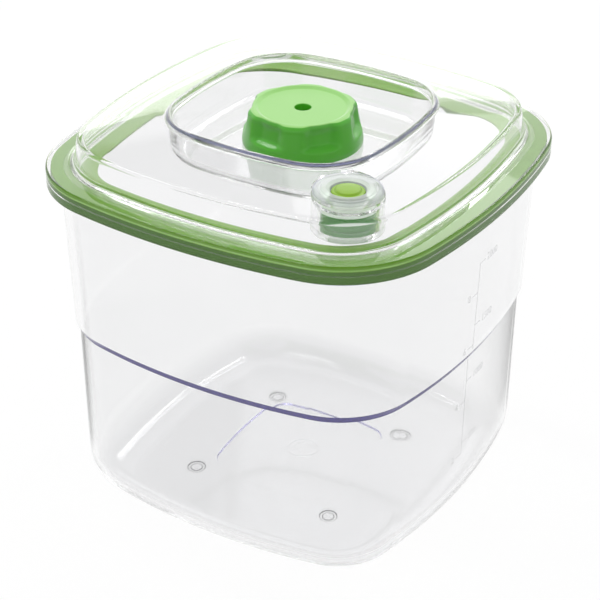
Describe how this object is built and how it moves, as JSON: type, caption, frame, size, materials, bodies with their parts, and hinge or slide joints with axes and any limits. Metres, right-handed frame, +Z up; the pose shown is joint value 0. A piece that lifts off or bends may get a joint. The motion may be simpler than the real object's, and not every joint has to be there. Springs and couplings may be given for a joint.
{
  "type": "vacuum food canister",
  "caption": "Clear square food canister with bowed sides and a lift-off clear lid that has a green seal, a twist knob over the vacuum port and a push button that lets air back in.",
  "frame": {"origin": "on the table under the middle of the vessel, at the underside of its feet", "axes": "+Z up along the knob's axis; +X and -Y out of the two faces that meet at the corner with the release button"},
  "size_m": [0.162, 0.162, 0.1546],
  "materials": {
    "clear_vessel": "clear moulded plastic",
    "clear_lid": "clear moulded plastic",
    "clear_trim": "clear moulded plastic",
    "clear_foot": "clear soft plastic",
    "green_gasket": "satin silicone",
    "green_seal": "satin silicone",
    "green_knob": "satin moulded plastic",
    "lime_button": "gloss moulded plastic",
    "white_plastic": "natural white plastic",
    "frosted_plastic": "frosted plastic",
    "white_silicone": "satin silicone",
    "dark_rubber": "satin rubber",
    "steel": "drawn stainless steel"
  },
  "bodies": {
    "canister": {"vessel": "clear_vessel", "base_feet": "clear_foot"},
    "lid": {"lid_shell": "clear_lid", "lid_gasket": "green_gasket", "port_bush": "white_plastic", "bush_seal": "dark_rubber", "knob_washer": "white_plastic", "release_collar": "clear_trim", "release_seal": "green_seal", "release_washer": "steel", "release_spring": "steel"},
    "knob": {"knob": "green_knob", "port_nozzle": "white_plastic", "knob_stem": "white_plastic", "stem_o_rings": "dark_rubber", "stem_clip": "steel", "check_spring": "steel"},
    "check_valve": {"check_valve": "white_silicone"},
    "release": {"release_button": "lime_button", "release_stem": "frosted_plastic"}
  },
  "joints": [
    {"name": "lid_lift", "type": "slide", "parent": "canister", "child": "lid", "axis": [0, 0, 1], "range_m": [0, 0.06]},
    {"name": "knob_twist", "type": "hinge", "parent": "lid", "child": "knob", "pos_m": [0, 0, 0.1546], "axis": [0, 0, 1], "range_deg": [0, 90]},
    {"name": "check_valve_lift", "type": "slide", "parent": "knob", "child": "check_valve", "axis": [0, 0, 1], "range_m": [0, 0.0012], "stiffness_N_per_m": 20, "springref_m": -0.0015, "deforming": ["check_spring"]},
    {"name": "release_press", "type": "slide", "parent": "lid", "child": "release", "axis": [0, 0, -1], "range_m": [0, 0.002], "stiffness_N_per_m": 300, "springref_m": -0.0033, "deforming": ["release_spring"]}
  ]
}
